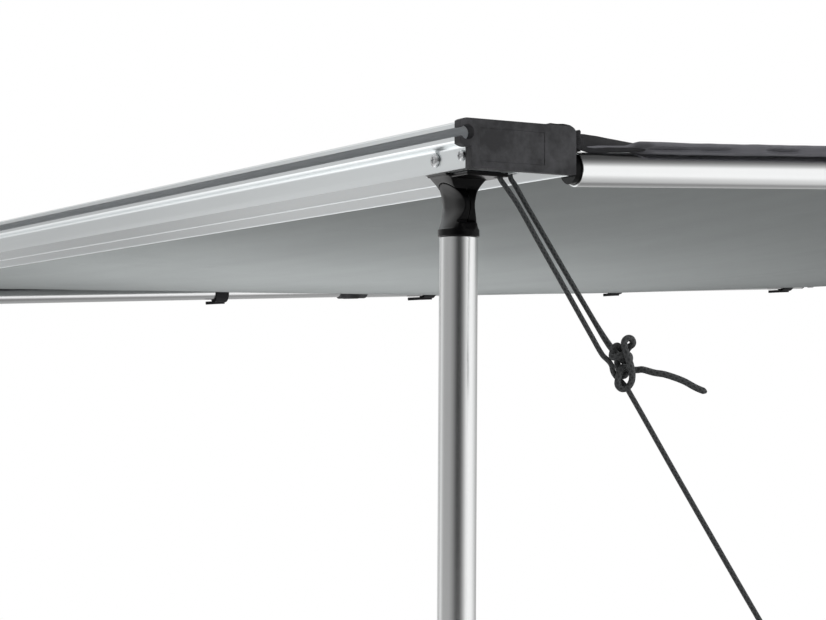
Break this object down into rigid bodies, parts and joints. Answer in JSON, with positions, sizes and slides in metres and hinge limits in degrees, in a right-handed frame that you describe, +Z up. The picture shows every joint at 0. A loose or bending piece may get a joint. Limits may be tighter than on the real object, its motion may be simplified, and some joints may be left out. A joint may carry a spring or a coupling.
{
  "type": "vehicle side awning",
  "caption": "Pull-out vehicle side awning with mounting rail, telescopic rafters and legs, canopy, front rail and guy rope.",
  "frame": {"origin": "middle of the mounting rail's flat back face, where the awning is held to the vehicle's rack", "axes": "+X along the rails towards the corner with the guy rope, +Y towards the vehicle, +Z up"},
  "size_m": [2.6917, 2.61, 2.1906],
  "materials": {
    "satin_aluminium": "satin anodised",
    "tube_aluminium": "bright anodised",
    "steel": "plated",
    "bracket_steel": "black powder coat",
    "black_plastic": "matte charcoal",
    "gloss_black": "glossy black",
    "canopy_cloth": "coated ripstop",
    "webbing": "black webbing",
    "rope": "charcoal braid",
    "rubber": "matte"
  },
  "bodies": {
    "rack_side": {"mounting_rail": "satin_aluminium", "mounting_rail_cap_right": "black_plastic", "mounting_rail_cap_left": "black_plastic", "rack_bracket_right": "bracket_steel", "rack_bracket_left": "bracket_steel", "rack_bracket_bolt_right": "steel", "rack_bracket_bolt_left": "steel", "hinge_bracket_right": "black_plastic", "hinge_bracket_left": "black_plastic", "hinge_pin_right": "steel", "hinge_pin_left": "steel", "canopy": "canopy_cloth", "canopy_strap_right_1": "webbing", "canopy_strap_right_2": "webbing", "canopy_strap_right_3": "webbing", "canopy_strap_right_4": "webbing", "canopy_strap_right_5": "webbing", "canopy_strap_left_1": "webbing", "canopy_strap_left_2": "webbing", "canopy_strap_left_3": "webbing", "canopy_strap_left_4": "webbing", "canopy_strap_left_5": "webbing"},
    "front_side": {"front_rail": "satin_aluminium", "front_rail_cap_right": "black_plastic", "front_rail_cap_left": "black_plastic", "cap_screw_right": "steel", "cap_screw_left": "steel", "leg_bracket_screw_right": "steel", "leg_bracket_screw_left": "steel", "corner_strap_right": "webbing", "corner_strap_left": "webbing", "leg_bracket_right": "gloss_black", "leg_bracket_left": "gloss_black", "leg_pivot_pin_right": "steel", "leg_pivot_pin_left": "steel", "guy_rope_bight": "rope", "guy_rope_knot": "rope", "guy_rope_tail": "rope", "guy_rope_run": "rope", "guy_rope_end_loop": "rope"},
    "rafter_right": {"rafter_knuckle_right": "black_plastic", "rafter_outer_tube_right": "tube_aluminium"},
    "rafter_left": {"rafter_knuckle_left": "black_plastic", "rafter_outer_tube_left": "tube_aluminium"},
    "rafter_lock_right": {"rafter_twist_lock_right": "black_plastic"},
    "rafter_lock_left": {"rafter_twist_lock_left": "black_plastic"},
    "rafter_inner_right": {"rafter_inner_tube_right": "tube_aluminium", "rafter_tip_right": "gloss_black"},
    "rafter_inner_left": {"rafter_inner_tube_left": "tube_aluminium", "rafter_tip_left": "gloss_black"},
    "leg_right": {"leg_knuckle_right": "gloss_black", "leg_upper_tube_right": "tube_aluminium"},
    "leg_left": {"leg_knuckle_left": "gloss_black", "leg_upper_tube_left": "tube_aluminium"},
    "leg_lock_right": {"leg_twist_lock_right": "black_plastic"},
    "leg_lock_left": {"leg_twist_lock_left": "black_plastic"},
    "leg_lower_right": {"leg_lower_tube_right": "tube_aluminium", "leg_foot_right": "rubber"},
    "leg_lower_left": {"leg_lower_tube_left": "tube_aluminium", "leg_foot_left": "rubber"}
  },
  "joints": [
    {"name": "front_rail_slide", "type": "slide", "parent": "rack_side", "child": "front_side", "axis": [0, 0.9988, 0.0489], "range_m": [0, 1], "deforming": ["canopy", "canopy_strap_right_1", "canopy_strap_right_2", "canopy_strap_right_3", "canopy_strap_right_4", "canopy_strap_right_5", "canopy_strap_left_1", "canopy_strap_left_2", "canopy_strap_left_3", "canopy_strap_left_4", "canopy_strap_left_5"]},
    {"name": "rafter_swing_right", "type": "hinge", "parent": "rack_side", "child": "rafter_right", "pos_m": [1.234, -0.07, 0], "axis": [0, 0.0489, -0.9988], "range_deg": [0, 90]},
    {"name": "rafter_swing_left", "type": "hinge", "parent": "rack_side", "child": "rafter_left", "pos_m": [-1.234, -0.112, -0.00205], "axis": [0, -0.0489, 0.9988], "range_deg": [0, 90]},
    {"name": "rafter_telescope_right", "type": "slide", "parent": "rafter_right", "child": "rafter_inner_right", "axis": [0, 0.9988, 0.0489], "range_m": [0, 1]},
    {"name": "rafter_telescope_left", "type": "slide", "parent": "rafter_left", "child": "rafter_inner_left", "axis": [0, 0.9988, 0.0489], "range_m": [0, 1]},
    {"name": "rafter_lock_twist_right", "type": "hinge", "parent": "rafter_right", "child": "rafter_lock_right", "pos_m": [1.234, -0.07, 0], "axis": [0, 0.9988, 0.0489], "range_deg": [0, 60]},
    {"name": "rafter_lock_twist_left", "type": "hinge", "parent": "rafter_left", "child": "rafter_lock_left", "pos_m": [-1.234, -0.112, -0.00205], "axis": [0, 0.9988, 0.0489], "range_deg": [0, 60]},
    {"name": "leg_fold_right", "type": "hinge", "parent": "front_side", "child": "leg_right", "pos_m": [1.1895, -2.485, -0.14384], "axis": [0, 1, 0], "range_deg": [0, 90]},
    {"name": "leg_fold_left", "type": "hinge", "parent": "front_side", "child": "leg_left", "pos_m": [-1.1895, -2.485, -0.14384], "axis": [0, -1, 0], "range_deg": [0, 90]},
    {"name": "leg_telescope_right", "type": "slide", "parent": "leg_right", "child": "leg_lower_right", "axis": [0, 0, 1], "range_m": [0, 0.85]},
    {"name": "leg_telescope_left", "type": "slide", "parent": "leg_left", "child": "leg_lower_left", "axis": [0, 0, 1], "range_m": [0, 0.85]},
    {"name": "leg_lock_twist_right", "type": "hinge", "parent": "leg_right", "child": "leg_lock_right", "pos_m": [1.1895, -2.485, -1.2], "axis": [0, 0, 1], "range_deg": [0, 60]},
    {"name": "leg_lock_twist_left", "type": "hinge", "parent": "leg_left", "child": "leg_lock_left", "pos_m": [-1.1895, -2.485, -1.2], "axis": [0, 0, 1], "range_deg": [0, 60]}
  ],
  "couplings": [
    {"joint": "rafter_telescope_right", "follows": "front_rail_slide", "ratio": 1},
    {"joint": "rafter_telescope_left", "follows": "front_rail_slide", "ratio": 1}
  ]
}
